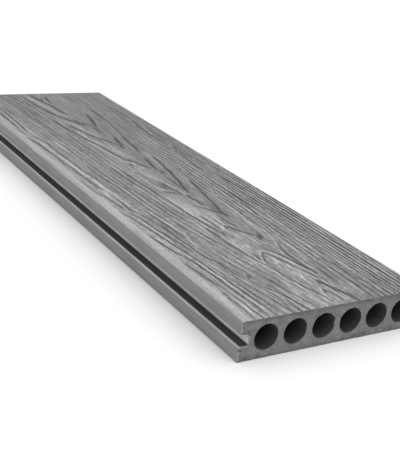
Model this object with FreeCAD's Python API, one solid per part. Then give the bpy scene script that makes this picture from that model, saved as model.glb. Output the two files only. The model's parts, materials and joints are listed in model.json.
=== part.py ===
import FreeCAD, Part
import os

# Hollow decking board: one length of extruded wood-plastic composite, in millimetres.
# The origin is on the underside, in the middle of the board.
# +X runs across the board, +Y along it to the far end, and +Z up to the walking face.
# The section stands in the XZ plane and is the same all along. The grain is no part of it.

# Overall
BOARD_WIDTH = 135.0
BOARD_THICKNESS = 25.0
BOARD_LENGTH = 450.0

# Clip groove, one along each side, between a lower and an upper lip
LOWER_LIP_HEIGHT = 9.8
GROOVE_HEIGHT = 7.2
GROOVE_DEPTH = 5.6

# Round hollows, in a row between the two grooves, as many as leave LEAST_WEB between them
HOLLOW_DIAMETER = 16.0
FLOOR_UNDER_HOLLOWS = 5.0
WEB_BESIDE_GROOVE = 3.9
LEAST_WEB = 3.5

# Rounded edges
TOP_EDGE_RADIUS = 2.5
LIP_EDGE_RADIUS = 0.6
GROOVE_CORNER_RADIUS = 0.8
BOTTOM_EDGE_RADIUS = 1.2


def side_corners():
    """The right side's corners from the underside up: x, z and the radius that rounds each one."""
    lip_x = BOARD_WIDTH / 2
    groove_x = lip_x - GROOVE_DEPTH
    groove_floor = LOWER_LIP_HEIGHT
    groove_ceiling = groove_floor + GROOVE_HEIGHT
    return [
        (lip_x, 0.0, BOTTOM_EDGE_RADIUS),
        (lip_x, groove_floor, LIP_EDGE_RADIUS),
        (groove_x, groove_floor, GROOVE_CORNER_RADIUS),
        (groove_x, groove_ceiling, GROOVE_CORNER_RADIUS),
        (lip_x, groove_ceiling, LIP_EDGE_RADIUS),
        (lip_x, BOARD_THICKNESS, TOP_EDGE_RADIUS),
    ]


def rounded_wire(corners):
    """A closed wire through square corners in the XZ plane, each rounded by its own radius."""
    starts = []
    middles = []
    ends = []
    count = len(corners)
    for index, (x, z, radius) in enumerate(corners):
        corner = FreeCAD.Vector(x, 0, z)
        before = FreeCAD.Vector(corners[index - 1][0], 0, corners[index - 1][1])
        after = FreeCAD.Vector(corners[(index + 1) % count][0], 0, corners[(index + 1) % count][1])
        back = (before - corner).normalize()
        ahead = (after - corner).normalize()
        centre = corner + (back + ahead) * radius
        starts.append(corner + back * radius)
        ends.append(corner + ahead * radius)
        middles.append(centre + (corner - centre).normalize() * radius)
    edges = []
    for index in range(count):
        edges.append(Part.Arc(starts[index], middles[index], ends[index]).toShape())
        edges.append(Part.LineSegment(ends[index], starts[(index + 1) % count]).toShape())
    return Part.Wire(edges)


def outline():
    """The board's outer outline: the right side's corners and their mirror image."""
    right = side_corners()
    left = [(-x, z, radius) for x, z, radius in reversed(right)]
    return rounded_wire(right + left)


def hollow_places():
    """Where the hollows stand across the board: spread evenly between the webs beside the grooves."""
    room = BOARD_WIDTH - 2 * (GROOVE_DEPTH + WEB_BESIDE_GROOVE)
    count = int((room + LEAST_WEB) // (HOLLOW_DIAMETER + LEAST_WEB))
    pitch = (room - HOLLOW_DIAMETER) / (count - 1)
    return [(index - (count - 1) / 2) * pitch for index in range(count)]


def hollows():
    """One circle in the section for each hollow."""
    radius = HOLLOW_DIAMETER / 2
    height = FLOOR_UNDER_HOLLOWS + radius
    along = FreeCAD.Vector(0, 1, 0)
    return [Part.Wire(Part.makeCircle(radius, FreeCAD.Vector(x, 0, height), along)) for x in hollow_places()]


def decking_board():
    """The section with its hollows, run along the board and centred on its middle."""
    section = Part.Face([outline()] + hollows(), "Part::FaceMakerBullseye")
    board = section.extrude(FreeCAD.Vector(0, BOARD_LENGTH, 0))
    board.translate(FreeCAD.Vector(0, -BOARD_LENGTH / 2, 0))
    return board


os.makedirs("parts", exist_ok=True)
decking_board().exportStep("parts/decking_board.step")
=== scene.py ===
import json
import math
from functools import lru_cache

import bpy
from mathutils import Matrix, Vector, noise
from mathutils.geometry import delaunay_2d_cdt


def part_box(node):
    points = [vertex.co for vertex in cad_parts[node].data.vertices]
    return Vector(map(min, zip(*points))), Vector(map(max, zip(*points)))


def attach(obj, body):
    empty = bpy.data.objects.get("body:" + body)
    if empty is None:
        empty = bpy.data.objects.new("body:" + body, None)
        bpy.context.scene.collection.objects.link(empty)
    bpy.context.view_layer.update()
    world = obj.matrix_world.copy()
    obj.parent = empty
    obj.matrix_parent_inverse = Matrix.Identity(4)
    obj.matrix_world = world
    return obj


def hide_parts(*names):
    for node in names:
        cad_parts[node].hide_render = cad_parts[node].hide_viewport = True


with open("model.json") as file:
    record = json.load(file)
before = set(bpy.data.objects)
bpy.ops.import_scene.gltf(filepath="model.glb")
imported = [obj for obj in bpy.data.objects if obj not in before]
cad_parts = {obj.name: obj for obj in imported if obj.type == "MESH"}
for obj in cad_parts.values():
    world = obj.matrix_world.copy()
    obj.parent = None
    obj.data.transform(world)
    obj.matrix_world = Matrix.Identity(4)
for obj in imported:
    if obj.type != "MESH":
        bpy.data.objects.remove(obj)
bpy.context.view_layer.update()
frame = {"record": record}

# Hollow decking board of grey wood-plastic composite, lying on a pale floor.
# One length of extrusion: a walking face embossed with wood grain, smooth sides with a clip groove
# each, and two sawn ends where six round hollows open. Lengths are in metres, and MM turns
# millimetres into them. +X runs across the board, +Y to its far end, +Z up out of the walking face.

MM = 0.001
board_low, board_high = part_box("decking_board")

# The section, as the part has it
LIP_X = board_high.x
TOP_Z = board_high.z
NEAR_Y = board_low.y
FAR_Y = board_high.y
LOWER_LIP_HEIGHT = 9.8 * MM
GROOVE_HEIGHT = 7.2 * MM
GROOVE_DEPTH = 5.6 * MM
TOP_EDGE_RADIUS = 2.5 * MM
LIP_EDGE_RADIUS = 0.6 * MM
GROOVE_CORNER_RADIUS = 0.8 * MM
BOTTOM_EDGE_RADIUS = 1.2 * MM
HOLLOWS = [
    (Vector((mount["pos_m"][0], mount["pos_m"][2])), mount["dims"]["r_mm"] * MM)
    for mount in frame["record"]["mounts"]
    if mount["kind"] == "bore"
]

# Mesh spacing: fine on the walking face, where the grain is real relief, and coarse elsewhere
GRAIN_CELL_ACROSS = 0.45 * MM
GRAIN_CELL_ALONG = (1.1 * MM, 2.2 * MM)
BOTTOM_CELL = 2.0 * MM
HOLLOW_SIDES = 72
# The points inside a sawn end: how far apart, how unevenly, how clear of its edges, and when two are one
END_CELL = 1.4 * MM
END_JITTER = 0.6
END_CLEARANCE = 0.8 * MM
END_WELD = 1e-7
SHARP_DEGREES = 35
# Rows of the plain sides, counted in from each end. The first clears the deepest broken edge.
ROWS_FROM_END = [1.6 * MM, 2.6 * MM, 4.5 * MM, 8.0 * MM, 15.0 * MM, 30.0 * MM, 60.0 * MM, 110.0 * MM]


# The embossed grain. Its own places are in millimetres: x across from the middle, s along from the
# near end. Its height is 1 on a crest, SKIN at the smooth edges, PLATEAU on the brushed ground and 0 in
# the deepest cut.

GRAIN_DEPTH = 0.6 * MM
SKIN = 0.86
PLATEAU = 0.72
LENGTH_MM = round((FAR_Y - NEAR_Y) / MM, 3)
HALF_WIDTH_MM = LIP_X / MM
# The smooth edges' widths, how much they wander, and half the width over which the grain sets in
SMOOTH_EDGE_LEFT = 7.0
SMOOTH_EDGE_RIGHT = 2.2
SMOOTH_EDGE_WANDER = 2.4
SMOOTH_EDGE_FADE = 0.8
# The heart's axis: its x at the near end, and its lean to the left. Then how far from it the heart ends.
HEART_X = 5.0
HEART_LEAN = 0.008
HEART_ENDS_LEFT = (19, 24)
HEART_ENDS_RIGHT = (15, 21)
# The side lines: from one to the next, where the closer ones by the right edge start, and their depth
LEFT_GAP = 4.1
RIGHT_GAP = 4.6
RIGHT_EDGE_GAP = 3.3
RIGHT_EDGE_FROM = 40
SIDE_CUT_DEPTH = 0.70
# What a full stroke does to the ground, and its share of that at its thin ends
CUT_DEPTH = 0.58
CREST_RISE = 0.26
PALE_RISE = 0.18
THIN_END = 0.4
# A stroke shows out to this many half widths from its middle
STROKE_REACH = 2
# How much weaker the strokes are beside the heart, and what the near left field takes back of that
SIDE_STROKES_WEAKER = 0.22
NEAR_LEFT_STRONGER = 0.30

# The grain's main lines, drawn one by one. Each stroke has its half width, how strong it is, and its way
# over the face in x and s. In each group they go from near to far.
CUTS = [
    # The heart
    (0.9, 0.7, (-2.5, 5), (-3.4, 12), (-6.6, 26), (-8.4, 34), (-9.7, 45), (-10.6, 56), (-13, 64),
     (-14.9, 74), (-15.9, 89), (-16.3, 110), (-16.5, 118)),
    (0.9, 0.7, (0.8, 14), (2.2, 19), (4.3, 14), (5.5, 8), (6, 3)),
    (1.0, 0.95, (13.8, 2), (13.2, 8), (11.8, 12), (10.1, 17), (8.7, 23), (6.6, 29.5), (5.4, 26)),
    (0.9, 0.65, (-10.6, 57), (-9, 62), (-6.5, 67), (-4, 71.5), (-1.3, 74.6), (0.9, 69), (2.8, 62),
     (4.4, 56), (6.6, 47), (8.7, 39), (10.4, 32)),
    (1.1, 0.75, (-10.3, 62), (-9.4, 69), (-9.2, 75)),
    (0.6, 0.3, (-4.3, 46), (-3, 52), (-1.5, 58), (-0.3, 53), (1.5, 46)),
    (1.0, 0.8, (5.5, 76), (7.2, 66), (8.3, 62), (10.1, 54), (11.3, 50), (12.4, 43), (12.9, 39),
     (12.4, 47), (12.4, 57), (13, 69), (13.7, 76), (15.5, 82)),
    (1.6, 0.5, (10.8, 60), (11.4, 52), (12.2, 44)),
    (1.5, 0.4, (18.5, 20), (18, 34), (18.3, 46)),
    (0.7, 0.6, (20.5, 44), (20.9, 52), (21.3, 58)),
    (2.0, 0.75, (9.6, 92), (11.2, 97), (13.4, 101)),
    (1.2, 0.7, (-10.4, 104), (-9.6, 109), (-8.4, 111)),
    (1.0, 0.75, (-3.6, 112), (-1.8, 118), (0.5, 115.5), (1.9, 112.5), (3.7, 107.5), (6.5, 103),
     (9.5, 99.5)),
    (0.9, 0.85, (-7.6, 115.5), (-7.9, 123), (-8.6, 131), (-9, 139)),
    (0.9, 0.7, (-11.6, 109), (-12.9, 121), (-14.4, 131), (-15.4, 143), (-15.8, 157), (-17.2, 171),
     (-17.8, 186), (-18, 200)),
    (0.8, 0.6, (4.8, 115), (4.5, 123), (3.9, 130), (3.6, 136)),
    (1.1, 0.7, (-1.5, 158), (0, 152), (2.8, 147.5), (7, 141.5), (10.2, 136), (9.8, 132)),
    (1.0, 0.9, (10.4, 137), (11, 144), (11.8, 149), (13.9, 157), (15.3, 168), (17.1, 176), (18.9, 187),
     (20.6, 196), (22, 204)),
    (3.0, 0.32, (9, 141), (9, 149), (9.5, 160)),
    (1.0, 0.85, (4.8, 154), (3.9, 161), (3.1, 168), (2.6, 175), (6, 174.5)),
    (1.1, 0.75, (0.8, 177), (-0.4, 184), (-1.1, 191), (-2.2, 200), (-3, 206)),
    (1.1, 0.7, (-2.5, 179), (-5, 183), (-8, 185), (-11.5, 184.5)),
    (2.6, 0.45, (-5, 189), (-6, 196), (-7.5, 204)),
    (1.1, 0.85, (7.2, 181), (8.9, 188), (10.3, 195), (11.7, 200), (13.5, 209), (14.9, 215), (16.7, 224),
     (17.4, 231), (18.5, 238), (19.6, 246), (20.3, 254), (21.2, 262)),
    (1.4, 0.5, (6.8, 184), (6.8, 194), (6.7, 204), (6.6, 213)),
    (1.2, 0.45, (-7, 206), (-9.4, 220), (-10.6, 229)),
    (1.6, 0.55, (8.6, 221), (9.8, 224), (10.8, 227)),
    (1.2, 0.75, (-6, 257), (-3, 253.5), (0, 249), (2.5, 242), (4, 236), (4.4, 233)),
    (2.4, 0.4, (-5.5, 259), (-2.5, 256), (1, 251)),
    (1.2, 0.7, (-6.8, 240), (-5.7, 245), (-5.2, 249)),
    (1.1, 0.95, (8, 230.5), (9.6, 238), (10.6, 245), (11.7, 251), (12.6, 258)),
    (1.0, 0.8, (14.2, 269), (15.6, 275), (17.4, 282), (18.7, 290), (19, 297), (20.3, 307), (21.5, 313)),
    (1.2, 0.65, (-6.1, 257), (-6.3, 264), (-7.2, 272), (-9, 281), (-10.4, 291), (-11.9, 300),
     (-13.3, 311), (-14.7, 321), (-16.9, 336), (-18.3, 354), (-18.6, 366)),
    (1.2, 0.85, (7, 283), (7.6, 287), (8.9, 291.5), (10.3, 300), (11.7, 306), (13.3, 313)),
    (2.0, 0.4, (6.8, 288), (5.5, 295), (4, 301)),
    (1.3, 0.7, (6, 295), (3.2, 301), (0.6, 307), (-2.6, 312), (-5.1, 319), (-6.9, 327), (-9, 336),
     (-10.4, 344), (-11.3, 350)),
    (1.3, 0.75, (7.2, 326), (7.5, 331), (6.6, 338)),
    (1.2, 0.85, (9.6, 339), (12.4, 347), (14.6, 356), (16, 361), (17.1, 369), (18.9, 379)),
    (2.6, 0.6, (5.6, 346), (3, 350), (0.5, 354), (-0.8, 358), (0.3, 363)),
    (1.4, 0.75, (-2, 358), (-4.3, 362), (-6.9, 369), (-10.4, 378), (-11.9, 386), (-13, 393), (-14.2, 400),
     (-15, 410), (-15.8, 419), (-16.7, 429), (-17.2, 441)),
    (1.3, 0.8, (0.6, 380), (-0.8, 387), (-1.3, 395), (-1.6, 403), (-3, 413), (-5, 420), (-5.3, 428),
     (-6.3, 434), (-8, 440), (-9.4, 452)),
    (1.0, 0.75, (1, 416), (2.1, 427), (3.3, 433), (5.6, 442)),
    (1.2, 0.6, (-4, 427), (-2.8, 431.5), (-0.8, 435)),
    # Left of it
    (0.65, 0.75, (-58.7, -2), (-58.5, 13), (-58.9, 25), (-58.2, 34)),
    (0.65, 0.85, (-53.9, -3), (-53.9, 20), (-55.2, 39), (-56.4, 46), (-57.3, 57), (-58.1, 65),
     (-59.8, 73)),
    (0.7, 0.95, (-49.3, -3), (-49.3, 18), (-50.6, 37), (-51.8, 58), (-53.1, 75), (-54.8, 83), (-56.8, 93),
     (-58.1, 101), (-59.3, 110), (-59.5, 119)),
    (0.65, 0.95, (-44.5, -2), (-44.9, 10), (-45.5, 22), (-46.2, 33), (-47.1, 44), (-48.4, 62),
     (-49.8, 79), (-50.6, 89), (-52.3, 104), (-53.5, 115), (-54.8, 130), (-56.4, 140), (-58.5, 150),
     (-60, 158)),
    (0.5, 0.75, (-41, 20), (-42.7, 35), (-43.9, 50), (-45.6, 63)),
    (0.5, 0.65, (-39.3, 18), (-42.3, 43), (-43, 52)),
    (0.7, 0.75, (-36.8, 44), (-38.1, 60), (-39.8, 72), (-41.4, 77), (-42.7, 85), (-43.1, 97),
     (-43.9, 110), (-44.4, 125), (-46.4, 142), (-48.1, 150), (-49.8, 155.5), (-51.4, 159), (-51, 167),
     (-50.6, 172), (-51.4, 178), (-51.5, 187)),
    (0.7, 0.9, (-45.6, 88), (-46.4, 100), (-47.7, 105), (-48.9, 117), (-50.2, 122), (-51, 134),
     (-51.4, 143), (-53.1, 151), (-54, 156)),
    (0.6, 0.5, (-35.4, 30), (-36, 36), (-36.4, 42)),
    (0.7, 0.6, (-23.4, -2), (-23.7, 14), (-26.8, 22), (-30.3, 32), (-30.8, 40)),
    (0.9, 0.5, (-17.7, 24), (-19.3, 31), (-21, 40), (-22.9, 53)),
    (0.9, 0.65, (-32, 45.2), (-31.3, 48.2)),
    (0.8, 0.35, (-31.2, 3), (-31.3, 12), (-31.6, 20)),
    (0.7, 0.5, (-27.2, 3), (-27.4, 11), (-27.6, 18)),
    (0.7, 0.5, (-24, 92), (-24.4, 101), (-25.3, 112)),
    (1.6, 0.25, (-34.3, 93), (-34.5, 105), (-33, 118)),
    (0.9, 0.35, (-32, 119), (-32.2, 129)),
    (0.7, 0.8, (-38.9, 106), (-39.1, 114), (-39.8, 124), (-40.5, 133), (-41.6, 141), (-42.9, 148)),
    (0.8, 0.75, (-55, 160), (-56, 173), (-57.3, 185), (-58.9, 196), (-60.4, 210)),
    (0.7, 0.55, (-38.9, 165), (-39.2, 180), (-39.8, 200)),
    (0.8, 0.55, (-29.9, 172), (-30.3, 185), (-30.6, 193)),
    (0.8, 0.7, (-44.3, 176), (-44.8, 192), (-45.8, 207)),
    (0.8, 0.7, (-19, 194), (-18.8, 202), (-19.4, 213), (-20, 222), (-20.3, 233)),
    (1.0, 0.85, (-53.1, 198), (-53.5, 207), (-53.9, 217), (-54.8, 229), (-55.3, 243), (-56, 256),
     (-56, 273), (-56.5, 291), (-57, 305), (-58.4, 314), (-59.8, 322)),
    (1.0, 0.6, (-25.1, 204), (-24.8, 212), (-26, 225), (-26, 234), (-25.4, 241)),
    (0.8, 0.7, (-36.7, 204), (-37.7, 218), (-38.3, 232), (-38.8, 250)),
    (0.8, 0.65, (-40.8, 208), (-41.2, 214), (-42, 228), (-42.4, 245)),
    (0.9, 0.75, (-46.6, 209), (-47.7, 225), (-48.6, 240), (-49.2, 258), (-49.6, 275), (-50.1, 291),
     (-49.4, 303), (-50.3, 310), (-51.5, 316), (-52.8, 322), (-54.8, 328)),
    (0.7, 0.5, (-39.2, 260), (-39.8, 275), (-40.3, 292)),
    (0.7, 0.6, (-41.9, 308), (-42.1, 319), (-42.9, 332)),
    (1.2, 0.5, (-30.5, 318), (-31.5, 345), (-32.8, 361), (-33.7, 377), (-34.7, 400), (-35, 420)),
    (0.9, 0.85, (-54.4, 336), (-53.2, 347), (-52.4, 357), (-52.4, 368), (-51.9, 386), (-51.8, 410)),
    (0.9, 0.75, (-57.5, 346), (-56.9, 360), (-56.9, 382), (-56.4, 405), (-56, 430)),
    (1.0, 0.6, (-29.5, 378), (-29.2, 395), (-30, 412)),
    (0.9, 0.7, (-47, 380), (-46.9, 395), (-47, 412)),
    (0.9, 0.55, (-20.6, 411), (-21.4, 423)),
    (1.1, 0.85, (-26.2, 419), (-26.7, 433), (-26.9, 452)),
    # Right of it
    (0.8, 0.8, (56.6, 12), (56.9, 30), (56.8, 44), (57.8, 60), (58.6, 78), (59.4, 90)),
    (0.75, 0.8, (32.9, 24), (32.8, 34), (33.4, 44), (34.2, 51)),
    (0.9, 0.7, (62.4, 41), (63.6, 47)),
    (0.8, 0.8, (47.9, 71), (48.6, 84), (49.8, 96), (50.4, 102)),
    (0.8, 0.8, (31.2, 125), (33.4, 133), (35.5, 143), (37.4, 159), (38.8, 170), (39.3, 175)),
    (0.9, 0.8, (57.4, 137), (57.9, 154), (57.6, 160)),
    (0.9, 0.7, (53.1, 178), (53.5, 188)),
    (0.9, 0.75, (50, 193), (51.4, 204)),
    (0.8, 0.75, (29.8, 204), (30.6, 217), (31.6, 232)),
    (1.0, 0.55, (44.6, 224), (45.2, 240), (46, 256)),
    (1.0, 0.5, (49.4, 253), (50.3, 268)),
    (1.4, 0.75, (50.8, 272), (52.6, 277), (53.2, 284)),
    (0.7, 0.6, (58, 288), (58.1, 300), (57.4, 313)),
    (1.0, 0.85, (49.8, 288), (49.4, 305), (49.4, 318), (49.9, 333), (50.8, 342), (53, 353), (53.6, 364),
     (54.4, 372), (53.6, 384), (53.4, 400)),
    (0.9, 0.75, (53.8, 297), (54.4, 311), (54.8, 323), (55.6, 334)),
    (1.0, 0.45, (20.3, 307), (24.3, 327), (26, 343), (27.8, 356)),
    (0.9, 0.55, (46.9, 352), (47.6, 370), (48, 400)),
    (1.2, 0.75, (28.2, 358), (28.9, 368), (29.9, 378), (30.5, 395)),
]
CRESTS = [
    # The heart
    (0.9, 0.85, (-3.8, -2), (-5.2, 13), (-7.7, 22), (-9.9, 33), (-11.3, 47), (-12.7, 57), (-15.2, 67),
     (-16.6, 77), (-18, 90), (-19.2, 108), (-19.8, 120), (-19.7, 134)),
    (0.8, 0.8, (-2, 8), (-1.6, 12), (-0.6, 16), (1.6, 21), (4.5, 18.5)),
    (1.3, 0.5, (8.2, 4), (7.2, 12), (6.4, 18), (5, 24)),
    (0.9, 0.6, (-6.5, 42), (-5.2, 49), (-3.8, 56), (-1.3, 64.5), (0.1, 59), (2.3, 51), (5.1, 42),
     (6.6, 37), (8, 33), (10.1, 26), (11.6, 19), (13.9, 14.5), (15.5, 15), (18, 19), (20, 25)),
    (0.85, 1.0, (-11.3, 66), (-10.2, 59.5), (-7.7, 67), (-4.1, 74), (-1.7, 77), (2.3, 73), (5.1, 66),
     (7.3, 57), (9.4, 47), (11.6, 39), (12.9, 34)),
    (1.5, 0.75, (-10.9, 64), (-12.3, 77), (-12.9, 89), (-13.6, 100), (-13, 108)),
    (0.7, 0.45, (14.2, 34), (14, 46), (13.9, 56), (14.6, 67), (16, 76), (17, 80)),
    (0.8, 0.8, (17.2, 55), (18.8, 58), (20.7, 61), (20.3, 64), (21.6, 74), (23, 83), (25.1, 96),
     (27.2, 106), (29, 122)),
    (0.8, 0.85, (9.6, 67.5), (10.7, 70.5), (12, 74), (14.4, 83), (16.6, 88), (18, 93), (19.4, 100),
     (20.8, 106), (23, 113)),
    (0.8, 0.9, (12.4, 90), (13.8, 94), (15.1, 97.5), (16.6, 102)),
    (0.6, 0.5, (-9.4, 114), (-7.8, 109), (-5.9, 114.5), (-3.8, 119), (-1.9, 121.5)),
    (0.85, 0.8, (-1.9, 121.5), (1.5, 120), (3.2, 115.5), (4.7, 111), (6.2, 106)),
    (1.3, 0.7, (-9.4, 115), (-10.4, 123), (-11.3, 132), (-13, 141), (-13.3, 154), (-13.3, 164),
     (-14.9, 176)),
    (0.8, 0.65, (-14.6, 114), (-15.8, 129), (-16.9, 143), (-18.6, 164), (-19.4, 175)),
    (0.9, 0.6, (11.6, 110), (13.9, 124), (16, 132), (17.6, 138), (18.5, 143)),
    (1.0, 0.8, (17.1, 104), (18.9, 125), (20.3, 132), (21.7, 141), (21.6, 149), (22.4, 155), (21.9, 162),
     (22.5, 170), (24.6, 176), (29.6, 188)),
    (0.9, 0.75, (24.6, 110), (25.4, 128), (27.4, 139), (28.9, 147), (30.1, 158), (32.2, 172), (34, 184)),
    (0.7, 0.55, (10.4, 136), (12.4, 143), (14, 151), (15.5, 158)),
    (1.0, 0.75, (3.5, 176), (2.1, 182), (0.9, 190), (-0.4, 196), (-1.1, 200), (-3.3, 209), (-5.1, 218),
     (-7.4, 225)),
    (1.0, 0.85, (-3, 185.3), (-6.1, 187), (-9.8, 188.6), (-10.9, 191), (-10.9, 197), (-11.9, 205),
     (-12.6, 213), (-12.9, 222)),
    (1.3, 0.55, (20, 199), (22.2, 210), (23.7, 219)),
    (0.7, 0.6, (-17.3, 207), (-17.6, 225), (-18.6, 241), (-19, 255), (-20.6, 268)),
    (1.2, 0.65, (15.2, 232), (16, 241), (17.4, 251), (18.5, 259), (19.3, 270)),
    (1.0, 0.85, (-10, 251.5), (-6.5, 251), (-4, 248), (-2.9, 243), (-1.1, 238), (1.2, 234)),
    (0.9, 0.7, (22.4, 248), (23.1, 259), (23.9, 268)),
    (1.1, 0.9, (-8.8, 251), (-9.4, 256), (-9.8, 262), (-10.8, 271), (-12.6, 284), (-13.3, 294),
     (-14.8, 302)),
    (1.7, 0.85, (-7.2, 296), (-8.4, 302), (-10.4, 311), (-10.8, 318), (-11.5, 329), (-13.2, 337)),
    (0.9, 0.6, (18.6, 312), (21, 323), (22.4, 336), (24.4, 352)),
    (0.8, 0.55, (8, 336.5), (13.1, 343), (16, 351)),
    (0.8, 0.55, (-13.3, 339), (-15, 351), (-17.2, 361), (-17.8, 370)),
    (0.7, 0.5, (-0.8, 395), (1.8, 403)),
    (0.8, 0.5, (-19.4, 411), (-19.5, 427), (-20, 437)),
    # Left of it
    (0.75, 0.7, (-56.4, 4), (-56.6, 15), (-57.4, 27)),
    (0.75, 0.75, (-51.8, 10), (-52.4, 30), (-53.3, 43)),
    (0.8, 0.85, (-47.3, -3), (-47.3, 21), (-48.1, 33), (-48.9, 46), (-49.3, 57), (-50.6, 71), (-51, 77)),
    (1.0, 0.45, (-50.9, 76), (-51.8, 84), (-53.5, 93), (-55.3, 105), (-56.4, 113)),
    (0.6, 0.6, (-33.6, 2), (-33.8, 10), (-33.8, 19)),
    (0.45, 0.6, (-42.6, 6), (-43.3, 20), (-44.1, 33), (-45, 45), (-46.4, 60), (-46.9, 70)),
    (0.45, 0.6, (-39.2, 8), (-39.8, 20), (-41.2, 30), (-42.6, 42), (-43.6, 52)),
    (0.5, 0.45, (-28.9, 2), (-29.1, 12), (-29.6, 20)),
    (0.8, 0.65, (-25, -2), (-26, 17), (-29.4, 26)),
    (0.6, 0.65, (-35, 29), (-36.4, 38), (-37.9, 47)),
    (1.0, 0.5, (-28.3, 55), (-30.2, 67), (-30.6, 78)),
    (0.7, 0.6, (-39.6, 62), (-41.2, 70), (-43.5, 86), (-44.3, 93), (-46.4, 105), (-47.2, 110)),
    (0.7, 0.8, (-24, 72), (-25.2, 87), (-26, 98), (-27.9, 119), (-28.9, 133)),
    (0.8, 0.6, (-31.2, 85), (-31.7, 98), (-32.1, 114)),
    (0.7, 1.0, (-37.2, 92), (-37.5, 106), (-37.7, 118), (-38.3, 130), (-39.1, 142), (-39.8, 154)),
    (0.6, 0.5, (-50.6, 104), (-51.4, 117), (-52.8, 128), (-54, 137), (-55.8, 147)),
    (0.65, 0.9, (-35, 144), (-35.8, 152), (-36.8, 175), (-37.3, 192), (-38.1, 208), (-39.3, 221),
     (-40.2, 237), (-41, 250), (-41.5, 264), (-41.9, 286), (-42.9, 301), (-43.4, 312)),
    (1.1, 0.55, (-49.4, 161), (-48, 171), (-48.2, 180), (-49, 192), (-50.2, 208), (-51.4, 225),
     (-52, 243), (-52.5, 263), (-52.8, 282), (-52.6, 299), (-54.8, 310), (-57, 318), (-59.6, 328)),
    (0.7, 0.55, (-53, 170), (-53.6, 181), (-55, 194)),
    (0.9, 0.45, (-58, 171), (-59.8, 183), (-61, 196), (-62.4, 218)),
    (0.7, 0.7, (-38.6, 297), (-39.6, 318), (-40.5, 336), (-39.8, 354), (-40.1, 376), (-40.1, 396)),
    (0.8, 0.6, (-48.6, 309), (-49.8, 318), (-50.6, 325)),
    (0.8, 0.65, (-51.5, 333), (-50.6, 350), (-50.5, 368), (-49.8, 385)),
    (0.7, 0.75, (-55.2, 354), (-54.6, 368), (-53.9, 381), (-53.6, 400)),
    # Right of it
    (0.8, 0.9, (37.6, 8), (38.5, 18), (38.9, 29), (39.5, 42), (40.3, 54), (40.9, 63), (42.3, 77)),
    (0.6, 0.65, (50.6, 5), (50.9, 25), (51.1, 42)),
    (0.7, 0.8, (54.3, 8), (54.3, 33), (54.7, 46), (55.9, 54), (56.8, 71), (57.6, 87), (58.8, 100),
     (59.8, 114)),
    (0.7, 0.65, (25.1, 10), (25.5, 37), (26.2, 50), (25.9, 67), (27.2, 79), (28.9, 91)),
    (0.6, 0.6, (44, 11), (44.3, 29), (44.6, 45), (45.1, 62)),
    (0.7, 0.7, (30.3, 12), (30.9, 29), (31.4, 42), (33, 54), (33.9, 65), (35, 75), (36, 84)),
    (0.8, 0.85, (58.2, 14), (59.3, 42), (59.7, 57), (60.9, 71), (61.4, 88), (63, 101)),
    (0.6, 0.65, (49.3, 69), (49.8, 82), (50.7, 92), (51.9, 102), (53.6, 119)),
    (0.7, 0.65, (38, 91), (39.3, 104), (40.2, 118), (41.8, 133), (43, 146), (43.5, 155), (44.5, 167)),
    (0.7, 0.55, (34.5, 103), (35.2, 112), (36, 121)),
    (0.7, 0.7, (33.8, 122), (35, 132), (36.4, 143)),
    (0.7, 0.85, (31.8, 136), (34.6, 149), (36, 163)),
    (0.9, 0.9, (40.4, 163), (40.7, 179), (41.3, 192), (41.4, 203)),
    (0.8, 0.6, (44.1, 184), (45.5, 196), (46.1, 207)),
    (0.8, 0.85, (56, 188), (56.5, 199), (57.5, 208), (58.5, 220)),
    (1.0, 0.75, (35.6, 192), (36.8, 208), (38.2, 219)),
    (0.8, 0.8, (27.8, 199), (28.6, 210), (29.3, 217), (30.5, 229), (31.3, 240)),
    (0.7, 0.6, (60.6, 206), (62.8, 232), (63.2, 248)),
    (0.9, 0.65, (47.2, 218), (48, 235), (48.8, 252)),
    (1.1, 0.65, (41.8, 220), (43.4, 240), (43.6, 258), (44.5, 272)),
    (0.8, 0.65, (39.8, 277), (40.4, 290), (41, 303), (41.7, 318)),
    (0.8, 0.75, (51.9, 306), (51.4, 320), (52.6, 333), (54, 346)),
]
PALE_BANDS = [
    (2.0, 0.15, (-9, -2), (-10.5, 8), (-14.1, 21), (-16.6, 33), (-18.6, 43), (-19.8, 52)),
    (2.0, 0.45, (-20.5, 4), (-21.5, 14), (-24, 26), (-26.5, 38)),
    (4.5, 0.5, (0, 23), (0.8, 32), (0.6, 42), (-0.8, 52)),
    (4.5, 0.6, (-9, 78), (-8, 88), (-5.5, 98), (-3, 104)),
    (3.5, 0.35, (1, 82), (2, 87), (3, 92)),
    (4.0, 0.5, (0, 123), (0, 135), (-1.5, 150), (-3.5, 165)),
    (4.5, 0.8, (-8.5, 128), (-8.5, 145), (-8.5, 160), (-9, 174)),
    (3.5, 0.5, (-2, 210), (-3.5, 222), (-5, 232), (-8, 240)),
    (2.8, 0.8, (1.6, 257), (0, 263), (-2, 272), (-3.5, 281), (-4, 292), (-6, 300)),
    (2.3, 0.8, (1, 314), (-1.1, 321), (-2.6, 332), (-4.7, 340), (-6.9, 351), (-9, 361)),
    (2.5, 0.75, (-2, 373), (-4.7, 379), (-6.5, 386), (-7.4, 393), (-8.3, 402), (-9.4, 410), (-10.6, 418),
     (-12.5, 428), (-13, 452)),
    (1.5, 0.5, (10.8, 429), (11.8, 433), (12.9, 438)),
    (2.0, 0.5, (-1.2, 438), (0.5, 446), (1, 452)),
]


def soft_step(start, end, value):
    """0 before start, 1 past end, and a smooth rise between."""
    part = min(max((value - start) / (end - start), 0.0), 1.0)
    return part * part * (3 - 2 * part)


def bell(value, width):
    """1 at nought, and a smooth fall to nothing a couple of widths away."""
    return math.exp(-(value / width) ** 2)


def clamp(value, low=0.0):
    return min(max(value, low), 1.0)


def blend(a, b, share):
    return a + (b - a) * share


def wander(x, s, across, along, seed):
    """Smooth unevenness around nought, in patches `across` by `along` millimetres."""
    return noise.noise(Vector((x / across, s / along, seed)))


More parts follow.
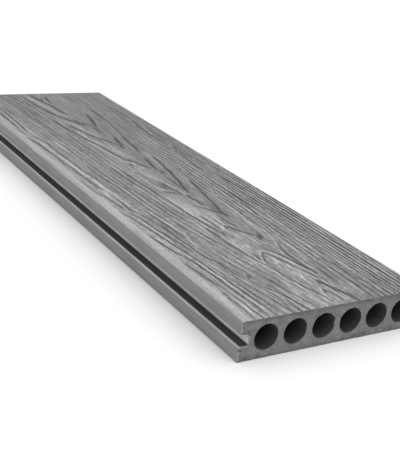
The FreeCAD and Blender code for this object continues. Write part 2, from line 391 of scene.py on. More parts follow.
def stretches(strokes):
    """The strokes' straight stretches: each end's x, s and strength, and the half width. A stroke thins
    out over its first and last stretch."""
    pieces = []
    for width, strength, *points in strokes:
        strengths = [strength] * len(points)
        if len(points) > 2:
            strengths[0] = strengths[-1] = THIN_END * strength
        ends = list(zip(points, strengths))
        pieces += [(*a, at_a, *b, at_b, width) for (a, at_a), (b, at_b) in zip(ends, ends[1:])]
    return pieces


STRETCHES = [stretches(CUTS), stretches(CRESTS), stretches(PALE_BANDS)]
CUT, CREST, PALE_BAND = range(3)


@lru_cache(maxsize=None)
def stretches_beside(kind, s):
    """The stretches that reach a place this far along the board."""
    beside = []
    for stretch in STRETCHES[kind]:
        _, s0, _, _, s1, _, width = stretch
        reach = STROKE_REACH * width
        if min(s0, s1) - reach < s < max(s0, s1) + reach:
            beside.append(stretch)
    return beside


def stroke(kind, x, s):
    """How strong the strokes of a kind are at a place, from 0 to about 1."""
    most = 0.0
    for x0, s0, strength0, x1, s1, strength1, width in stretches_beside(kind, s):
        reach = STROKE_REACH * width
        if min(x0, x1) - reach < x < max(x0, x1) + reach:
            run_x, run_s = x1 - x0, s1 - s0
            share = clamp(((x - x0) * run_x + (s - s0) * run_s) / (run_x * run_x + run_s * run_s))
            away = math.hypot(x - x0 - share * run_x, s - s0 - share * run_s)
            most = max(most, blend(strength0, strength1, share) * bell(away, width))
    return most


def heart_height(x, s):
    """The brushed ground between the heart's lines, roughest by the near end."""
    far = soft_step(60, 240, s)
    height = PLATEAU - 0.02 + (0.22 - 0.12 * far) * wander(x, s, 1.5, 22, 57.1)
    return height + (0.14 - 0.08 * far) * wander(x, s, 1.1, 6, 58.3)


def near_left(x, s):
    """1 in the near end's left field, where the cuts run unbroken, and 0 elsewhere."""
    return soft_step(16, 24, -x) * (1 - soft_step(110, 180, s))


def side_height(x, s):
    """The near-parallel lines beside the heart: a narrow cut every few millimetres, a thin crest by it.
    They are torn by the near end and calmer up the board, closest by the right edge, and faint on the
    left, where the strokes carry the grain."""
    far = soft_step(60, 280, s)
    if x < HEART_X:
        # These fan out towards the near end. spread is where this one stands at the far end.
        before_300 = min(0.0, s - 300)
        before_150 = min(0.0, s - 150)
        spread = x + 0.02 * (s - LENGTH_MM) + 0.02 * before_300 + 0.05 * before_150
        spread += 0.0018 * (x + 45) * before_150
        gap = LEFT_GAP
        contrast = 0.12 + 0.30 * soft_step(-47, -38, x)
    else:
        # These lean outwards up the board, most of all beside the heart. spread is where this one starts.
        lean = 0.012 + 0.060 * math.exp((18 - x) / 13)
        spread = x - lean * s * (1 - s / (2 * LENGTH_MM))
        gap = RIGHT_EDGE_GAP if spread > RIGHT_EDGE_FROM else RIGHT_GAP
        by_edge = soft_step(RIGHT_EDGE_FROM, RIGHT_EDGE_FROM + 8, x)
        contrast = 0.62 + 0.20 * by_edge * (1 - soft_step(200, 300, s))
        contrast += 0.16 * (1 - by_edge) * bell(s - 155, 70)
    number = (spread - RIGHT_EDGE_FROM) / gap + 0.2 * wander(spread, s, 9, 140, 11.3)
    number += 0.1 * wander(spread, s, 3, 45, 13.9) + 0.08 * wander(spread, s, 2.0, 9, 17.9)
    line = round(number)
    away = (number - line) * gap
    strength = clamp(0.80 + 0.35 * wander(line * 5.3, s, 1, 60, 19.7), 0.4)
    width = 0.92 + 0.3 * wander(line * 2.9, s, 1, 70, 23.3)
    torn = 0.95 + (0.5 - 0.2 * far) * wander(line * 3.1, s, 1, 7, 29.3)
    torn += (0.8 - 0.4 * near_left(x, s)) * wander(x, s, 3, 2.6, 30.1)
    cut = contrast * strength * torn * (1 - soft_step(0.1, width, abs(away)))
    height = PLATEAU - 0.03 - SIDE_CUT_DEPTH * cut
    fibre = 0.20 * wander(spread, s, 1.0, 26, 63.7) + 0.15 * wander(x, s, 1.0, 5, 58.3)
    height += (1 - 0.4 * max(far, near_left(x, s))) * fibre
    pale = clamp(0.85 + 0.3 * wander(line * 7.1, s, 1, 60, 53.3))
    crest = contrast * torn * pale * bell(away - 1.2, 0.5)
    return blend(height, 1.0, clamp(crest))


def grain_height(x, s):
    """The walking face's height at a place: ground, side lines, strokes, fibres and smooth edges."""
    off_axis = x - HEART_X + HEART_LEAN * s
    ragged = 5.0 * wander(x, s, 6, 45, 31.1)
    if off_axis < 0:
        beside = soft_step(*HEART_ENDS_LEFT, ragged - off_axis)
    else:
        beside = soft_step(*HEART_ENDS_RIGHT, ragged + off_axis)
    height = blend(heart_height(x, s), side_height(x, s), beside)
    shaky = x + 0.45 * wander(x, s, 5, 11, 9.1)
    weaker = SIDE_STROKES_WEAKER * (1 + 0.7 * soft_step(38, 44, x))
    weaker -= NEAR_LEFT_STRONGER * near_left(x, s) * soft_step(20, 60, s)
    uneven = (1 - weaker * beside) * (1 + 0.4 * wander(x, s, 4, 17, 49.3))
    height += PALE_RISE * stroke(PALE_BAND, shaky, s)
    height += CREST_RISE * uneven * stroke(CREST, shaky, s)
    height -= CUT_DEPTH * uneven * stroke(CUT, shaky, s)
    fibre = 0.12 * wander(x, s, 0.8, 12, 37.7) + 0.08 * wander(x, s, 0.9, 3.5, 41.3)
    height -= fibre * (1 - 0.4 * soft_step(60, 280, s))
    smooth_edge = SMOOTH_EDGE_LEFT if x < 0 else SMOOTH_EDGE_RIGHT
    from_edge = HALF_WIDTH_MM - abs(x) + SMOOTH_EDGE_WANDER * wander(x, s, 30, 55, 43.9)
    grained = soft_step(smooth_edge - SMOOTH_EDGE_FADE, smooth_edge + SMOOTH_EDGE_FADE, from_edge)
    return blend(SKIN, clamp(height), grained)


def top_painted_light_and_mottle(x, s):
    """Painted light on the walking face: palest at its left edge and near end, darker to the right
    and further along, with a painted highlight at its right edge, over random patches.
    """
    right = soft_step(0, 9, x)
    along = (0.06 - 0.26 * s / LENGTH_MM) * (1 - right)
    across = 0.30 * bell(x + 54.5, 7) - 0.05 * bell(x + 27, 9) - 0.15 * right
    across += 0.16 * soft_step(62, 65, x) - 0.10 * bell(x - 10, 8) * soft_step(60, 160, s)
    return 1.0 + along + across + 0.08 * wander(x, s, 30, 90, 3.3)


# The board's mesh. Its vertices carry the grain's height, and a tone that pales or darkens the
# finish, much of it painted light and shade.

TOP, SMOOTH_EDGE, SIDE, GROOVE_WALL, GROOVE_FLOOR, SAWN, HOLLOW = range(7)

# Tones: 1 leaves a finish as it is, less darkens it and more pales it. A pair is for a flat's two ends.
PLAIN = (1, 1)
# Painted shade: the upper lip's side darkens towards its lower edge
UPPER_LIP_PAINTED_SHADE_TONES = (1, 0.83)
# Painted light on the groove's wall, brightest at its foot
GROOVE_WALL_PAINTED_LIGHT_TONES = (0.78, 1.85)
# A painted highlight along the lower lip's edge
ARRIS_PAINTED_HIGHLIGHT = 2.0
SAWN_RIM_TONE = 0.66
# Painted highlights on the broken edge down the left side and in the left groove
LEFT_RIM_PAINTED_HIGHLIGHT = 2.1
LEFT_GROOVE_RIM_PAINTED_HIGHLIGHT = 1.6
# Painted shade on the broken edge under the upper lips
UNDER_LIP_PAINTED_SHADE = 0.35
# How dark painted shade leaves a hollow's walls deep inside
HOLLOW_PAINTED_SHADE_TONE = 0.06
# A hollow's walls darken with painted shade over this stretch in from the mouth, and are ragged to this
# depth
HOLLOW_PAINTED_SHADE_SPAN = (-4 * MM, 26 * MM)
RAGGED_DEPTH = 2.2 * MM
# How far in from its outline the sawn end is darker, and how near to a lip's face a point still counts as
# on it
SAWN_DARK_BAND = 3.0 * MM
ON_A_LIP = 0.3 * MM
# The nick in the near end's left edge: how high up and how deep in mm, and how much darker
NICK_HEIGHT = 7.3
NICK_DEPTH = 0.75
NICK_DARKER = 1.85
# The deepest that the saw breaks an edge, in mm
DEEPEST_CHIP = 1.3
# Flakes and chips at the near mouths, by hollow: angle and half width in radians, and reach in mm
MOUTH_DAMAGE = {
    1: [(0.1, 0.12, -0.6)],
    2: [(0.45, 0.2, 0.7), (2 * math.pi - 0.45, 0.15, 0.5), (0.1, 0.12, -0.8)],
}


def arc(centre_x, centre_z, radius, start, end, steps):
    """Section points along an arc, angles in degrees from +X towards +Z."""
    points = []
    for step in range(steps + 1):
        angle = math.radians(blend(start, end, step / steps))
        points.append((centre_x + radius * math.cos(angle), centre_z + radius * math.sin(angle)))
    return points


def right_side():
    """The right side of the section, from the walking face's edge down to the underside: each point
    with the finish of the face that follows it, and its tone."""
    wall_x = LIP_X - GROOVE_DEPTH
    ceiling_z = LOWER_LIP_HEIGHT + GROOVE_HEIGHT
    lip_x = LIP_X - LIP_EDGE_RADIUS
    corner_x = wall_x + GROOVE_CORNER_RADIUS
    top_edge = (LIP_X - TOP_EDGE_RADIUS, TOP_Z - TOP_EDGE_RADIUS, TOP_EDGE_RADIUS)
    upper_lip_edge = (lip_x, ceiling_z + LIP_EDGE_RADIUS, LIP_EDGE_RADIUS)
    groove_top = (corner_x, ceiling_z - GROOVE_CORNER_RADIUS, GROOVE_CORNER_RADIUS)
    groove_foot = (corner_x, LOWER_LIP_HEIGHT + GROOVE_CORNER_RADIUS, GROOVE_CORNER_RADIUS)
    lower_lip_edge = (lip_x, LOWER_LIP_HEIGHT - LIP_EDGE_RADIUS, LIP_EDGE_RADIUS)
    bottom_edge = (LIP_X - BOTTOM_EDGE_RADIUS, BOTTOM_EDGE_RADIUS, BOTTOM_EDGE_RADIUS)
    # Each corner's arc, finish and tone, then the finish, steps and tones of the flat after it
    # The darker corner tones are painted shade: the upper lip's lower edge, the groove's top corner and
    # the bottom edge
    corners = [
        (arc(*top_edge, 90, 60, 2), SMOOTH_EDGE, 1.0, SMOOTH_EDGE, 1, PLAIN),
        (arc(*top_edge, 45, 0, 3), SIDE, 1.0, SIDE, 6, UPPER_LIP_PAINTED_SHADE_TONES),
        (arc(*upper_lip_edge, 0, -90, 3), SIDE, 0.8, GROOVE_FLOOR, 4, PLAIN),
        (arc(*groove_top, 90, 180, 3), GROOVE_WALL, 0.8, GROOVE_WALL, 5, GROOVE_WALL_PAINTED_LIGHT_TONES),
        (arc(*groove_foot, 180, 270, 3), GROOVE_FLOOR, 1.0, GROOVE_FLOOR, 4, PLAIN),
        (arc(*lower_lip_edge, 90, 0, 3), SIDE, ARRIS_PAINTED_HIGHLIGHT, SIDE, 9, PLAIN),
        (arc(*bottom_edge, 0, -90, 4), SIDE, 0.9, SIDE, 0, PLAIN),
    ]
    points = []
    for place, (corner, finish, tone, flat_finish, steps, (first_tone, last_tone)) in enumerate(corners):
        points += [(x, z, finish, tone) for x, z in corner[:-1]]
        end_x, end_z = corner[-1]
        points.append((end_x, end_z, flat_finish, tone))
        for step in range(1, steps):
            next_x, next_z = corners[place + 1][0][0]
            share = step / steps
            x, z = blend(end_x, next_x, share), blend(end_z, next_z, share)
            points.append((x, z, flat_finish, blend(first_tone, last_tone, share)))
    return points


def section_columns():
    """The section's points in one turn: x, z, the finish of the face after it, its tone, and whether
    it carries the grain's fine rows."""
    flat = LIP_X - TOP_EDGE_RADIUS
    steps = round(2 * flat / GRAIN_CELL_ACROSS)
    right = right_side()
    smooth_edge = (SMOOTH_EDGE_LEFT - SMOOTH_EDGE_WANDER / 2) * MM
    columns = []
    for step in range(steps):
        x = blend(-flat, flat, step / steps)
        finish = SMOOTH_EDGE if x < smooth_edge - LIP_X else TOP
        columns.append((x, TOP_Z, finish, 1.0, True))
    columns.append((flat, TOP_Z, SMOOTH_EDGE, 1.0, True))
    columns += [(x, z, finish, tone, False) for x, z, finish, tone in right[1:]]
    underside_x = right[-1][0]
    bottom_steps = round(2 * underside_x / BOTTOM_CELL)
    for step in range(1, bottom_steps):
        x = blend(underside_x, -underside_x, step / bottom_steps)
        columns.append((x, 0.0, SIDE, 1.0, False))
    for place in range(len(right) - 1, 0, -1):
        x, z, _, tone = right[place]
        columns.append((-x, z, right[place - 1][2], tone, False))
    return columns


def inward_normals(columns):
    """For each point of the section, the direction into the material."""
    normals = []
    for index, _ in enumerate(columns):
        before = columns[index - 1]
        after = columns[(index + 1) % len(columns)]
        along = Vector((after[0] - before[0], after[1] - before[1])).normalized()
        normals.append(Vector((along.y, -along.x)))
    return normals


def broken_edge(x, z, near_end):
    """How far the saw has broken the cut's edge at a point of the section."""
    across, up = x / MM, z / MM
    seed = 51.7 if near_end else 67.3
    chip = 0.14 + 0.05 * wander(across, up, 1.3, 1.3, seed)
    if abs(x) > LIP_X - ON_A_LIP:
        chip += 0.14 + 0.2 * wander(across, up, 1, 2.5, seed + 1)
    if up < 1.0:
        crumbled = wander(across, 0, 4, 1, seed + 2) + 0.8 * wander(across, 0, 1.4, 1, seed + 5)
        chip += 0.5 * max(0.0, crumbled)
    if near_end:
        chip += NICK_DEPTH * bell(across + HALF_WIDTH_MM, 0.6) * bell(up - NICK_HEIGHT, 0.55)
    return min(chip, DEEPEST_CHIP) * MM


def rim_tone(x, z, near_end):
    """The broken edge is darker, with painted shade under the upper lips. A painted highlight runs down
    the left side, save for one dark nick, and along the left groove."""
    up = z / MM
    if x < ON_A_LIP - LIP_X:
        return LEFT_RIM_PAINTED_HIGHLIGHT - (NICK_DARKER * bell(up - NICK_HEIGHT, 0.8) if near_end else 0)
    floor = LOWER_LIP_HEIGHT / MM
    ceiling = (LOWER_LIP_HEIGHT + GROOVE_HEIGHT) / MM
    if x < ON_A_LIP - LIP_X + GROOVE_DEPTH and floor - 0.1 < up < ceiling - 0.9:
        return LEFT_GROOVE_RIM_PAINTED_HIGHLIGHT
    return SAWN_RIM_TONE - UNDER_LIP_PAINTED_SHADE * bell(up - ceiling, 0.4)


def ragged_mouth(hollow, angle, near_end):
    """How much wider or narrower a hollow's mouth is at an angle: rough all round, with flakes and
    chips at the right of the second and third."""
    seed = 71.9 + hollow * 3.3 + (0 if near_end else 40)
    change = 0.28 * noise.noise(Vector((8 * math.cos(angle), 8 * math.sin(angle), seed)))
    if near_end:
        for place, width, reach in MOUTH_DAMAGE.get(hollow, []):
            change += reach * bell(angle - place, width)
    return change * MM


def beside_an_edge(spot, clearance):
    """Whether a place on the sawn end is nearer than the clearance to an edge, a groove or a hollow."""
    wall_x = LIP_X - GROOVE_DEPTH
    by_edge = abs(spot.x) > LIP_X - clearance or not clearance < spot.y < TOP_Z - clearance
    from_groove = abs(spot.y - LOWER_LIP_HEIGHT - GROOVE_HEIGHT / 2)
    by_groove = abs(spot.x) > wall_x - clearance and from_groove < GROOVE_HEIGHT / 2 + clearance
    by_hollow = any((spot - centre).length < radius + clearance for centre, radius in HOLLOWS)
    return by_edge or by_groove or by_hollow


def inside_outline(spot, outline):
    """Whether a place lies inside a closed outline, by counting crossings."""
    inside = False
    for start, end in zip(outline, outline[1:] + outline[:1]):
        if (start.y > spot.y) != (end.y > spot.y):
            if spot.x < blend(start.x, end.x, (spot.y - start.y) / (end.y - start.y)):
                inside = not inside
    return inside


class BoardMesh:
    """Collects the board's vertices, with their grain height and tone, and its faces by finish."""

    def __init__(self):
        self.verts = []
        self.grain = []
        self.tones = []
        self.faces = []
        self.finishes = []

    def add(self, x, y, z, grain, tone):
        self.verts.append((x, y, z))
        self.grain.append(grain)
        self.tones.append(tone)
        return len(self.verts) - 1

    def face(self, corners, finish):
        self.faces.append(corners)
        self.finishes.append(finish)

    def strip(self, first, second, finish):
        """Joins two columns, which may have different numbers of rows."""
        a = b = 0
        while a < len(first) - 1 or b < len(second) - 1:
            if len(first) == len(second):
                self.face((first[a], second[b], second[b + 1], first[a + 1]), finish)
                a += 1
                b += 1
            elif b == len(second) - 1 or (
                a < len(first) - 1 and self.verts[first[a + 1]][1] < self.verts[second[b + 1]][1]
            ):
                self.face((first[a], second[b], first[a + 1]), finish)
                a += 1
            else:
                self.face((first[a], second[b], second[b + 1]), finish)
                b += 1

    def finished(self, name):
        mesh = bpy.data.meshes.new(name)
        mesh.from_pydata(self.verts, [], self.faces)
        mesh.attributes.new("grain_height", "FLOAT", "POINT").data.foreach_set("value", self.grain)
        mesh.attributes.new("tone", "FLOAT", "POINT").data.foreach_set("value", self.tones)
        mesh.polygons.foreach_set("material_index", self.finishes)
        mesh.polygons.foreach_set("use_smooth", [True] * len(self.faces))
        mesh.set_sharp_from_angle(angle=math.radians(SHARP_DEGREES))
        return mesh


def long_faces(board, coarse_rows):
    """The faces that run the board's length, and the broken edges of both cuts. Gives the sawn ends'
    outlines."""
    columns = section_columns()
    normals = inward_normals(columns)
    first_row, last_row = coarse_rows[0], coarse_rows[-1]
    near_cell, far_cell = GRAIN_CELL_ALONG
    steps = round(2 * (last_row - first_row) / (near_cell + far_cell))
    growth = (far_cell - near_cell) / (far_cell + near_cell)
    shares = [step / steps for step in range(steps + 1)]
    fine_rows = [blend(first_row, last_row, share * (1 - growth * (1 - share))) for share in shares]
    outlines = {NEAR_Y: [], FAR_Y: []}
    built = []
    for (x, z, finish, tone, fine), inward in zip(columns, normals):
        column = []
        for y in [NEAR_Y] + (fine_rows if fine else coarse_rows) + [FAR_Y]:
            s = (y - NEAR_Y) / MM
            height = grain_height(x / MM, s) if fine else SKIN
            top = z - GRAIN_DEPTH * (1 - height) if fine else z
            row_tone = top_painted_light_and_mottle(x / MM, s) if finish in (TOP, SMOOTH_EDGE) else tone
            row_y = y
            if y in outlines:
                chip = broken_edge(x, z, y == NEAR_Y)
                sawn = Vector((x, top)) + inward * chip
                outlines[y].append(board.add(sawn.x, y, sawn.y, height, rim_tone(x, z, y == NEAR_Y)))
                row_y += chip if y == NEAR_Y else -chip
            column.append(board.add(x, row_y, top, height, row_tone))
        built.append(column)
    for index, (_, _, finish, _, _) in enumerate(columns):
        after = (index + 1) % len(columns)
        first, second = built[index], built[after]
        near, far = outlines[NEAR_Y], outlines[FAR_Y]
        board.strip(first, second, finish)
        board.face((near[index], near[after], second[0], first[0]), SAWN)
        board.face((first[-1], second[-1], far[after], far[index]), SAWN)
    return outlines


def hollow_walls(board, coarse_rows):
    """The round hollows from end to end, ragged at their mouths. Gives each end's mouths."""
    mouths = {NEAR_Y: [], FAR_Y: []}
    for number, (centre, radius) in enumerate(HOLLOWS):
        rings = []
        for y in [NEAR_Y] + coarse_rows + [FAR_Y]:
            ring = []
            for side in range(HOLLOW_SIDES):
                angle = 2 * math.pi * side / HOLLOW_SIDES
                reach = radius
                for end in (NEAR_Y, FAR_Y):
                    fade = 1 - soft_step(0.0, RAGGED_DEPTH, abs(y - end))
                    reach += fade * ragged_mouth(number, angle, end == NEAR_Y)
                depth = min(y - NEAR_Y, FAR_Y - y)
                # Painted shade, deepening in from the mouth
                tone = blend(1.0, HOLLOW_PAINTED_SHADE_TONE, soft_step(*HOLLOW_PAINTED_SHADE_SPAN, depth))
                across, up = reach * math.cos(angle), reach * math.sin(angle)
                ring.append(board.add(centre.x + across, y, centre.y + up, 1.0, tone))
            rings.append(ring)
        for near, far in zip(rings, rings[1:]):
            for side in range(HOLLOW_SIDES):
                after = (side + 1) % HOLLOW_SIDES
                board.face((near[side], near[after], far[after], far[side]), HOLLOW)
        mouths[NEAR_Y].append(rings[0])
        mouths[FAR_Y].append(rings[-1])
    return mouths


def sawn_tone(spot, y):
    """The sawn end is darker near its outline and towards its top, cloudy inside, and pitted in a row
    by its bottom edge.
    """
    across, up = spot.x / MM, spot.y / MM
    from_outline = min(TOP_Z - spot.y, spot.y, LIP_X - abs(spot.x))
    tone = blend(SAWN_RIM_TONE, 1.0, soft_step(0, SAWN_DARK_BAND, from_outline))
    tone += blend(0.10, -0.08, spot.y / TOP_Z)
    tone += 0.22 * wander(across, up, 5, 4, y) + 0.16 * wander(across, up, 1.6, 1.4, y + 3)
    pits = max(0.0, wander(across, 0, 2.4, 1, y + 7) + 0.1)
    return tone - 1.3 * pits * bell(up - 2.2 - 1.2 * wander(across, 0, 6, 1, y + 9), 0.9)


def sawn_end(board, y, outline, mouths):
    """One cut end: a flat sheet from its outline to the hollows' mouths."""
    spots = []
    known = []
    edges = []
    loops = []
    for loop in [outline] + mouths:
        start = len(spots)
        for place, index in enumerate(loop):
            spots.append(Vector((board.verts[index][0], board.verts[index][2])))
            known.append(index)
            edges.append((start + place, start + (place + 1) % len(loop)))
        loops.append(spots[start:])
    border, *holes = loops
    for column in range(1, int(2 * LIP_X / END_CELL)):
        for row in range(1, int(TOP_Z / END_CELL) + 1):
            seed = Vector((column * 0.37, row * 0.71, 5.0))
            jitter = Vector((noise.noise(seed), noise.noise(seed + Vector((9, 9, 9)))))
            spot = Vector((-LIP_X + column * END_CELL, row * END_CELL)) + jitter * END_CELL * END_JITTER
            if not beside_an_edge(spot, END_CLEARANCE) and inside_outline(spot, border):
                spots.append(spot)
                known.append(None)
    made, _, triangles, sources, _, _ = delaunay_2d_cdt(spots, edges, [], 0, END_WELD)
    placed = []
    for spot, source in zip(made, sources):
        if source and known[source[0]] is not None:
            placed.append(known[source[0]])
        else:
            placed.append(board.add(spot.x, y, spot.y, 1.0, sawn_tone(spot, y)))
    for triangle in triangles:
        middle = sum((made[corner] for corner in triangle), Vector((0, 0))) / 3
        if inside_outline(middle, border) and not any(inside_outline(middle, hole) for hole in holes):
            corners = [placed[corner] for corner in triangle]
            board.face(corners if y == NEAR_Y else corners[::-1], SAWN)


def board_mesh():
    board = BoardMesh()
    coarse_rows = [NEAR_Y + inset for inset in ROWS_FROM_END] + [(NEAR_Y + FAR_Y) / 2]
    coarse_rows += [FAR_Y - inset for inset in reversed(ROWS_FROM_END)]
    outlines = long_faces(board, coarse_rows)
    mouths = hollow_walls(board, coarse_rows)
    for y in (NEAR_Y, FAR_Y):
        sawn_end(board, y, outlines[y], mouths[y])
    return board.finished("decking_board_body")


# Materials. Each starts from wood-plastic composite: a dull grey plastic full of wood flour.

COMPOSITE_IOR = 1.46
# Nearly all of a noise pattern lies in this run
NOISE_RUN = {"From Min": 0.3, "From Max": 0.7}


def linear(hex_colour):
    """An sRGB hex colour as linear red, green, blue and alpha."""
    channels = [int(hex_colour[place:place + 2], 16) / 255 for place in (1, 3, 5)]
    return [c / 12.92 if c <= 0.04045 else ((c + 0.055) / 1.055) ** 2.4 for c in channels] + [1.0]


def add_node(owner, kind, inputs=None, **settings):
    """Adds one node with its settings. Each input takes a value or another node's output."""
    tree = owner.node_tree
    made = tree.nodes.new(kind)
    for name, value in settings.items():
        setattr(made, name, value)
    for socket, value in (inputs or {}).items():
        if isinstance(value, bpy.types.NodeSocket):
            tree.links.new(value, made.inputs[socket])
        else:
            made.inputs[socket].default_value = value
    return made


def blank(data):
    data.use_nodes = True
    data.node_tree.nodes.clear()
    return data


def patches(material, across, along, up, detail):
    """A pattern of uneven patches, about this many millimetres across, along and up the board."""
    place = add_node(material, "ShaderNodeTexCoord").outputs["Object"]
    scale = (1 / (across * MM), 1 / (along * MM), 1 / (up * MM))
    stretched = add_node(material, "ShaderNodeMapping", {"Vector": place, "Scale": scale}).outputs[0]
    noise_inputs = {"Vector": stretched, "Scale": 1.0, "Detail": detail}
    return add_node(material, "ShaderNodeTexNoise", noise_inputs).outputs[0]


def speckled_surface(material, colour, speckle, speckle_range, roughness, bump_height, bump_mm):
    """Every finish ends the same way: its colour, lightened and darkened by its speckle and by the
    board's own tone, over a dull dielectric with a bump."""
    tone = add_node(material, "ShaderNodeAttribute", attribute_name="tone").outputs["Fac"]
    low, high = speckle_range
    spread = {"Value": speckle, **NOISE_RUN, "To Min": low, "To Max": high}
    grit = add_node(material, "ShaderNodeMapRange", spread).outputs[0]
    shade = add_node(material, "ShaderNodeMath", {0: grit, 1: tone}, operation="MULTIPLY").outputs[0]
    shaded = add_node(
        material, "ShaderNodeMix", {0: 1.0, 6: colour, 7: shade}, data_type="RGBA", blend_type="MULTIPLY"
    ).outputs[2]
    relief = {"Height": bump_height, "Distance": bump_mm * MM}
    bump = add_node(material, "ShaderNodeBump", relief).outputs[0]
    finish = {"Base Color": shaded, "Roughness": roughness, "Normal": bump, "IOR": COMPOSITE_IOR}
    surface = add_node(material, "ShaderNodeBsdfPrincipled", finish).outputs[0]
    add_node(material, "ShaderNodeOutputMaterial", {"Surface": surface})


def embossed_composite(name, grit):
    """The walking face: composite rolled with wood grain and brushed. Cuts are dark and crests pale,
    partly the grain's own colour and partly painted shade in the cuts and a painted highlight on the
    crests. Short torn fibres run along the board. Its smooth edges have the calmer grit."""
    material = blank(bpy.data.materials.new(name))
    height = add_node(material, "ShaderNodeAttribute", attribute_name="grain_height").outputs["Fac"]
    # Painted shade darkens the cuts and a painted highlight pales the crests, over the grain's own colour
    ramp = add_node(material, "ShaderNodeValToRGB", {"Fac": height})
    stops = ramp.color_ramp.elements
    stops[0].position, stops[0].color = 0.0, linear("#303030")
    stops[1].position, stops[1].color = 1.0, linear("#b4b4b4")
    stops.new(0.45).color = linear("#5c5c5c")
    stops.new(PLATEAU).color = linear("#868686")
    # Fibres about 1 mm wide and 3 mm long, drawn at twice the size of wood flour so that they show
    fibres = patches(material, 1.0, 3, 3, 3.0)
    # Longer brush streaks, about 1 mm wide
    streaks = patches(material, 1.1, 45, 5, 2.0)
    brushed = add_node(material, "ShaderNodeMix", {0: 0.5, 2: fibres, 3: streaks}).outputs[0]
    duller_in_cuts = {"Value": height, "To Min": 0.8, "To Max": 0.6}
    rough = add_node(material, "ShaderNodeMapRange", duller_in_cuts).outputs[0]
    speckled_surface(material, ramp.outputs[0], brushed, grit, rough, brushed, 0.25)
    return material


def extruded_composite(name, colour):
    """A face as it left the die: smoother, with faint drawn lines along it and a cloudy sheen."""
    material = blank(bpy.data.materials.new(name))
    # Drawn lines 0.8 mm wide, and clouds of a few millimetres
    lines = patches(material, 0.8, 90, 0.8, 4.0)
    clouds = patches(material, 6, 18, 6, 5.0)
    speckle = add_node(material, "ShaderNodeMix", {0: 0.5, 2: lines, 3: clouds}).outputs[0]
    sheen = {"Value": clouds, **NOISE_RUN, "To Min": 0.5, "To Max": 0.62}
    rough = add_node(material, "ShaderNodeMapRange", sheen).outputs[0]
    speckled_surface(material, linear(colour), speckle, (0.78, 1.22), rough, lines, 0.06)
    return material


def sawn_composite():
    """The cut ends: matt, mottled with torn wood flour, and lightly scored by the saw's teeth."""
    material = blank(bpy.data.materials.new("sawn_composite"))
    mottle = patches(material, 2.6, 2.6, 1.8, 5.0)
    # Torn crumbs about 0.9 mm across, a little taller where the saw's teeth drew them
    crumbs = patches(material, 0.9, 1, 1.6, 2.0)
    torn = add_node(material, "ShaderNodeMix", {0: 0.5, 2: mottle, 3: crumbs}).outputs[0]
    sheen = {"Value": mottle, **NOISE_RUN, "To Min": 0.75, "To Max": 0.9}
    rough = add_node(material, "ShaderNodeMapRange", sheen).outputs[0]
    # The cut end's grey, darker than the sides', is partly its own colour and partly painted shade
    speckled_surface(material, linear("#6e6e6e"), torn, (0.6, 1.3), rough, torn, 0.15)
    return material


board = bpy.data.objects.new("decking_board_finished", board_mesh())
bpy.context.collection.objects.link(board)
finishes = {
    TOP: embossed_composite("embossed_composite", (0.42, 1.58)),
    SMOOTH_EDGE: embossed_composite("smooth_edge_composite", (0.64, 1.36)),
    SIDE: extruded_composite("extruded_composite", "#818181"),
    # Painted light: the groove wall's pale grey
    GROOVE_WALL: extruded_composite("groove_wall_painted_light_composite", "#b2b2b2"),
    # Painted shade: the dark grey of the groove's floor and ceiling
    GROOVE_FLOOR: extruded_composite("groove_painted_shade_composite", "#383838"),
    SAWN: sawn_composite(),
    # Painted shade: the hollows' dark grey
    HOLLOW: extruded_composite("hollow_painted_shade_composite", "#4a4a4a"),
}
for finish in sorted(finishes):
    board.data.materials.append(finishes[finish])
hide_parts("decking_board")
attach(board, "root")


def pale_floor():
    """A sheet of pale studio paper under the board."""
    reach = 6.0
    corners = [(-reach, -reach, 0), (reach, -reach, 0), (reach, reach, 0), (-reach, reach, 0)]
    sheet = bpy.data.meshes.new("pale_floor")
    sheet.from_pydata(corners, [], [(0, 1, 2, 3)])
    floor = bpy.data.objects.new("pale_floor", sheet)
    bpy.context.collection.objects.link(floor)
    paper = blank(bpy.data.materials.new("matt_studio_paper"))
    matt = {"Base Color": linear("#f4f4f4"), "Roughness": 0.9}
    surface = add_node(paper, "ShaderNodeBsdfPrincipled", matt).outputs[0]
    add_node(paper, "ShaderNodeOutputMaterial", {"Surface": surface})
    sheet.materials.append(paper)


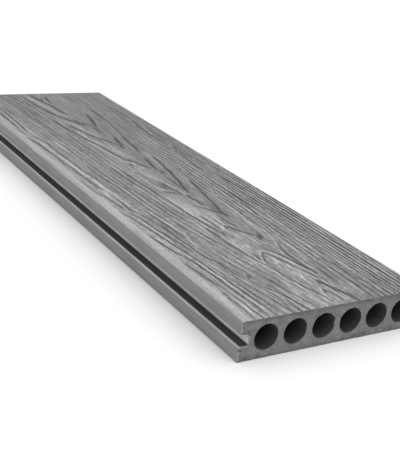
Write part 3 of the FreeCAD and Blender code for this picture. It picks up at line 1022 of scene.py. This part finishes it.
def white_tent():
    """Light from a white tent, three times as bright overhead as at its foot, and a little brighter in
    front and to the right. Below the floor's edge it is plain white."""
    all_round = 1.52
    lean = (0.38, -0.50, 0)
    foot_height = 0.02
    foot = (0.347, 0.347, 0.347, 1)
    white = (1, 1, 1, 1)
    world = blank(bpy.data.worlds.new("white_tent"))
    direction = add_node(world, "ShaderNodeTexCoord").outputs["Generated"]
    height = add_node(world, "ShaderNodeSeparateXYZ", {"Vector": direction}).outputs["Z"]
    brightness = add_node(world, "ShaderNodeValToRGB", {"Fac": height})
    stops = brightness.color_ramp.elements
    stops[0].position, stops[0].color = 0.0, white
    stops[1].position, stops[1].color = 1.0, white
    stops.new(foot_height).color = foot
    leaning = add_node(world, "ShaderNodeVectorMath", {0: direction, 1: lean}, operation="DOT_PRODUCT")
    added = {0: leaning.outputs["Value"], 1: all_round}
    strength = add_node(world, "ShaderNodeMath", added, operation="ADD").outputs[0]
    light = {"Color": brightness.outputs[0], "Strength": strength}
    background = add_node(world, "ShaderNodeBackground", light).outputs[0]
    add_node(world, "ShaderNodeOutputWorld", {"Surface": background})
    bpy.context.scene.world = world


def photograph_camera():
    """The camera at the photograph's place: low beside the near end, and rolled a little to one side."""
    picture_height = 457
    focal_pixels = 912.5
    place = Vector((-0.3337, -0.5622, 0.2445))
    azimuth = math.radians(34.44)
    down = math.radians(21.67)
    roll = math.radians(7.68)
    lens = bpy.data.cameras.new("photograph_camera")
    lens.sensor_width = 36.0
    lens.lens = lens.sensor_width * focal_pixels / picture_height
    camera = bpy.data.objects.new("photograph_camera", lens)
    level = math.cos(down)
    looking = Vector((math.sin(azimuth) * level, math.cos(azimuth) * level, -math.sin(down)))
    turn = looking.to_track_quat("-Z", "Y").to_matrix() @ Matrix.Rotation(roll, 3, "Z")
    camera.matrix_world = Matrix.Translation(place) @ turn.to_4x4()
    bpy.context.collection.objects.link(camera)
    bpy.context.scene.camera = camera


pale_floor()
white_tent()
photograph_camera()
bpy.context.scene.view_settings.view_transform = "Standard"
